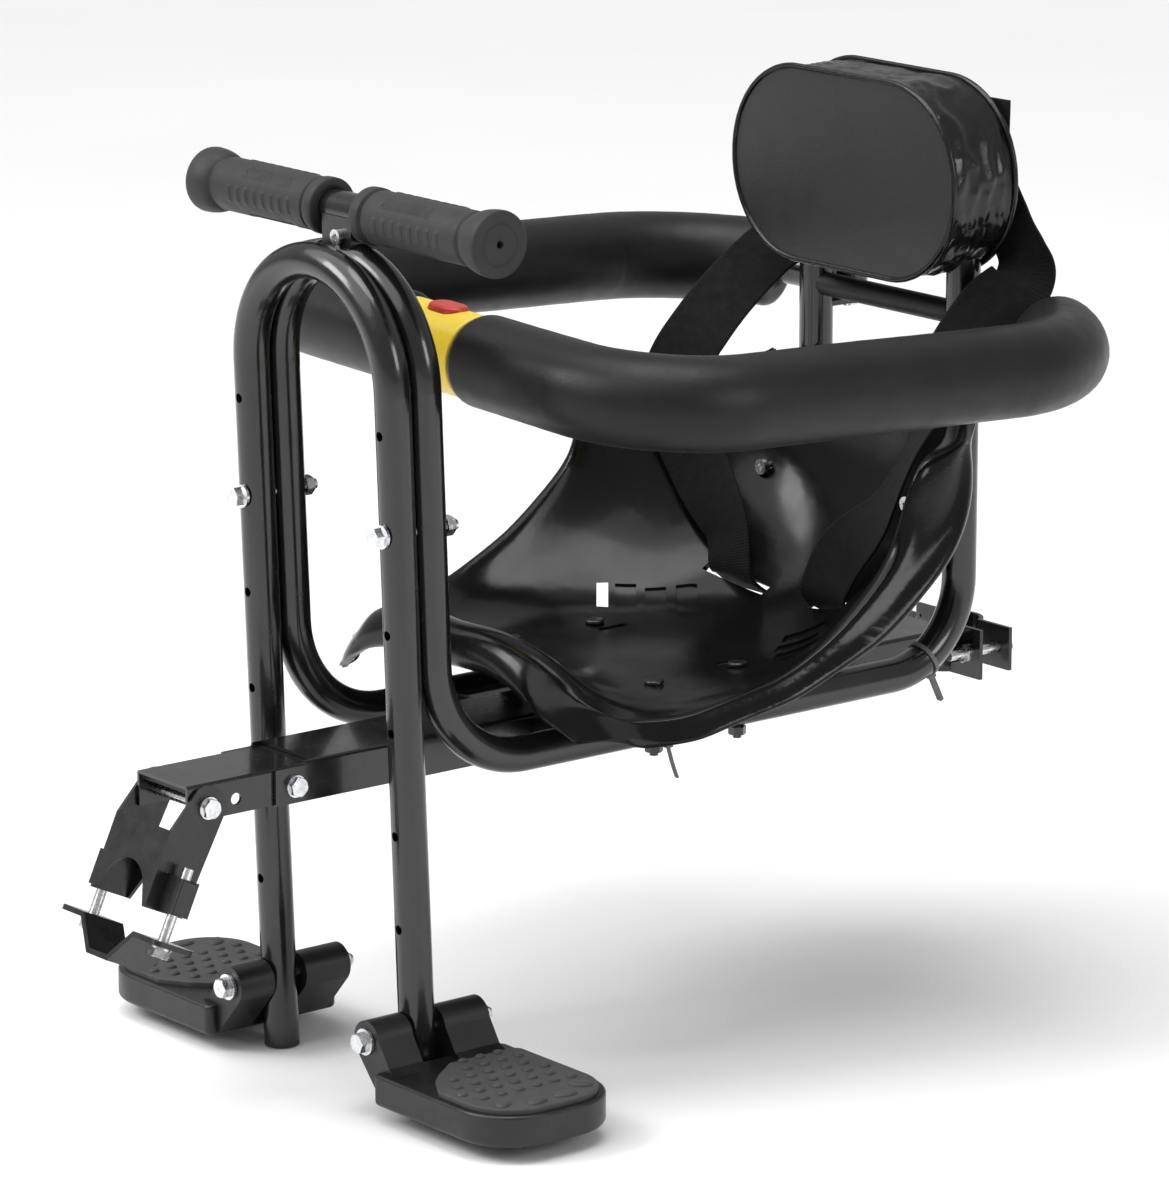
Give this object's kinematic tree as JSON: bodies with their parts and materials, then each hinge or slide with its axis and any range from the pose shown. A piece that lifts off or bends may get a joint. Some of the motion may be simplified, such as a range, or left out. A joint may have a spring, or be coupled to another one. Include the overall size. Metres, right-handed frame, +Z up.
{
  "type": "front child bicycle seat",
  "caption": "Front child seat for a bicycle: steel tube frame, moulded shell, padded guard ring with a latched gate, back pad, straps, T-bar grips, folding foot pedals and tube clamps.",
  "frame": {"origin": "on the axis of the bicycle tube held by the front clamp, at the middle of the clamp's length", "axes": "+Z up, +Y to the rear of the bicycle, +X to the child's left"},
  "size_m": [0.4121, 0.6369, 0.5264],
  "materials": {
    "frame_paint": "gloss black powder coat",
    "zinc": "bright zinc",
    "foam": "satin foam sleeve",
    "grip_rubber": "matte rubber",
    "pad_leather": "satin synthetic leather",
    "shell_plastic": "gloss moulded plastic",
    "pedal_plastic": "satin moulded plastic",
    "mat_rubber": "matte rubber with dots",
    "webbing": "woven webbing",
    "sleeve_plastic": "gloss moulded plastic",
    "button_plastic": "gloss moulded plastic",
    "cap_plastic": "matte plastic"
  },
  "bodies": {
    "frame": {"main_frame": "frame_paint", "footrest_hoop": "frame_paint", "hoop_bolts": "zinc", "hoop_nuts": "zinc", "hoop_end_caps": "cap_plastic", "rear_crossbar": "frame_paint", "handlebar_tube": "frame_paint", "handlebar_saddle": "frame_paint", "handlebar_screw": "zinc", "handlebar_nut": "zinc", "grip_left": "grip_rubber", "grip_right": "grip_rubber", "beam_outer": "frame_paint", "beam_inner": "frame_paint", "rail_stubs": "frame_paint", "beam_bolt": "zinc", "beam_nut": "zinc", "front_pivot_bolt": "zinc", "front_pivot_nut": "zinc", "rear_clamp_bracket": "frame_paint", "rear_bracket_bolt": "zinc", "rear_bracket_nut": "zinc", "rear_clamp_nuts": "zinc", "seat_shell": "shell_plastic", "shell_bolts": "frame_paint", "shell_nuts": "frame_paint", "shell_spacers": "cap_plastic", "wall_screws": "zinc", "ring_tube": "frame_paint", "ring_foam": "foam", "latch_sleeve": "sleeve_plastic", "button_spring": "zinc", "ring_brackets": "frame_paint", "ring_pins": "zinc", "backrest_pad": "pad_leather", "shoulder_strap_left": "webbing", "shoulder_strap_right": "webbing", "pedal_bolts": "zinc", "pedal_washers": "zinc", "pedal_nuts": "zinc"},
    "left_pedal": {"pedal_left": "pedal_plastic", "pedal_mat_left": "mat_rubber"},
    "right_pedal": {"pedal_right": "pedal_plastic", "pedal_mat_right": "mat_rubber"},
    "gate": {"gate_tube": "frame_paint", "gate_foam": "foam", "gate_tongue": "zinc"},
    "button": {"release_button": "button_plastic"},
    "front_clamp": {"front_clamp_bracket": "frame_paint", "front_clamp_blocks": "frame_paint"},
    "front_jaw": {"front_clamp_strap": "frame_paint", "front_clamp_bolts": "zinc", "front_clamp_washers": "zinc"},
    "rear_jaw": {"rear_clamp_strap": "frame_paint", "rear_clamp_bolts": "zinc"}
  },
  "joints": [
    {"name": "left_pedal_fold", "type": "hinge", "parent": "frame", "child": "left_pedal", "pos_m": [0.064, 0.13933, -0.08659], "axis": [0, -1, 0], "range_deg": [0, 85]},
    {"name": "right_pedal_fold", "type": "hinge", "parent": "frame", "child": "right_pedal", "pos_m": [-0.064, 0.13933, -0.08659], "axis": [0, 1, 0], "range_deg": [0, 85]},
    {"name": "gate_swing", "type": "hinge", "parent": "frame", "child": "gate", "pos_m": [0.06342, 0.56213, 0.2569], "axis": [0.0349, 0, 0.9994], "range_deg": [0, 100]},
    {"name": "button_press", "type": "slide", "parent": "frame", "child": "button", "axis": [-0.0349, 0, -0.9994], "range_m": [0, 0.003], "stiffness_N_per_m": 500, "springref_m": -0.001, "deforming": ["button_spring"]},
    {"name": "front_clamp_tilt", "type": "hinge", "parent": "frame", "child": "front_clamp", "pos_m": [0, 0.02913, 0.05041], "axis": [1, 0, 0], "range_deg": [-12, 35]},
    {"name": "front_jaw_slide", "type": "slide", "parent": "front_clamp", "child": "front_jaw", "axis": [0, 0.4226, 0.9063], "range_m": [0, 0.012]},
    {"name": "rear_jaw_slide", "type": "slide", "parent": "frame", "child": "rear_jaw", "axis": [0, -1, 0], "range_m": [0, 0.0085]}
  ]
}
